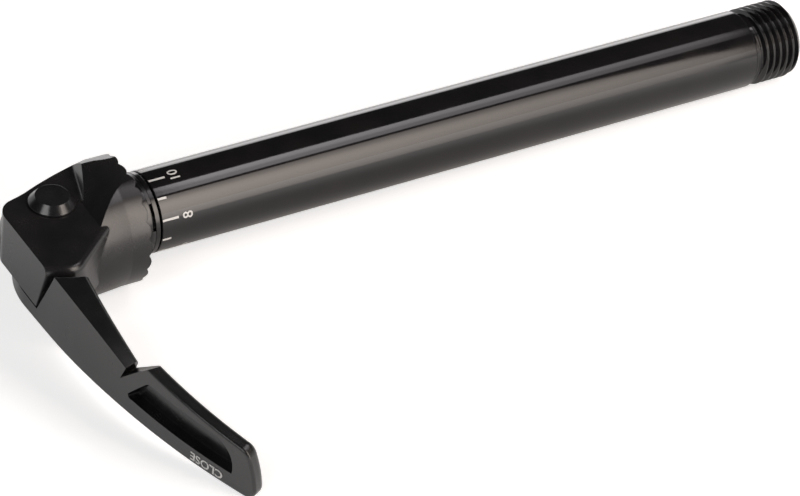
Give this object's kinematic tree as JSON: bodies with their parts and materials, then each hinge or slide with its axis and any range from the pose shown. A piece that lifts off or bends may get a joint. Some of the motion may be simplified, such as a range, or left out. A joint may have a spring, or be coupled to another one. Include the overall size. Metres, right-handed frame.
{
  "type": "bicycle thru axle",
  "caption": "Threaded hollow thru axle for a bicycle fork with a toothed clamping flange, a numbered index dial and a folding cam lever.",
  "frame": {"origin": "on the axle's axis, in the plane of the tips of the flange's clamping teeth", "axes": "+Y along the axle towards the threaded end, +Z along the lever pin, cap up, +X along the closed lever"},
  "size_m": [0.0809, 0.1669, 0.0226],
  "materials": {
    "axle_black": "glossy black anodised",
    "head_black": "glossy black anodised",
    "collar_black": "glossy black anodised",
    "cap_black": "satin black anodised",
    "lever_black": "satin black anodised face, glossy sides",
    "clip_steel": "blackened",
    "ring_steel": "ground",
    "rod_steel": "zinc plated",
    "spring_steel": "drawn wire",
    "cam_steel": "hardened and ground",
    "screw_steel": "black oxide",
    "bush_bronze": "sintered",
    "shim_plastic": "moulded",
    "seal_rubber": "moulded"
  },
  "bodies": {
    "axle": {"axle_tube": "axle_black", "index_ring": "ring_steel", "seal_ring": "seal_rubber", "return_spring": "spring_steel"},
    "rod": {"tension_rod": "rod_steel", "tension_nut": "rod_steel", "thrust_washer": "rod_steel"},
    "head": {"head_housing": "head_black", "index_collar": "collar_black", "collar_clip": "clip_steel", "index_spring": "spring_steel", "upper_bush": "bush_bronze", "lower_bush": "bush_bronze"},
    "handle": {"lever": "lever_black", "cam_shaft": "cam_steel", "pivot_cap": "cap_black", "lever_washer": "shim_plastic", "lever_screw": "screw_steel"}
  },
  "joints": [
    {"name": "index_turn", "type": "hinge", "parent": "axle", "child": "rod", "pos_m": [0, 0, 0], "axis": [0, 1, 0], "continuous": true},
    {"name": "clamp_slide", "type": "slide", "parent": "rod", "child": "head", "axis": [0, 1, 0], "range_m": [-0.00101, 0]},
    {"name": "lever_swing", "type": "hinge", "parent": "head", "child": "handle", "pos_m": [0, -0.0141, 0], "axis": [0, 0, 1], "range_deg": [-110, 0]}
  ],
  "couplings": [
    {"joint": "clamp_slide", "follows": "lever_swing", "m_per_rad": 0.00052426}
  ]
}
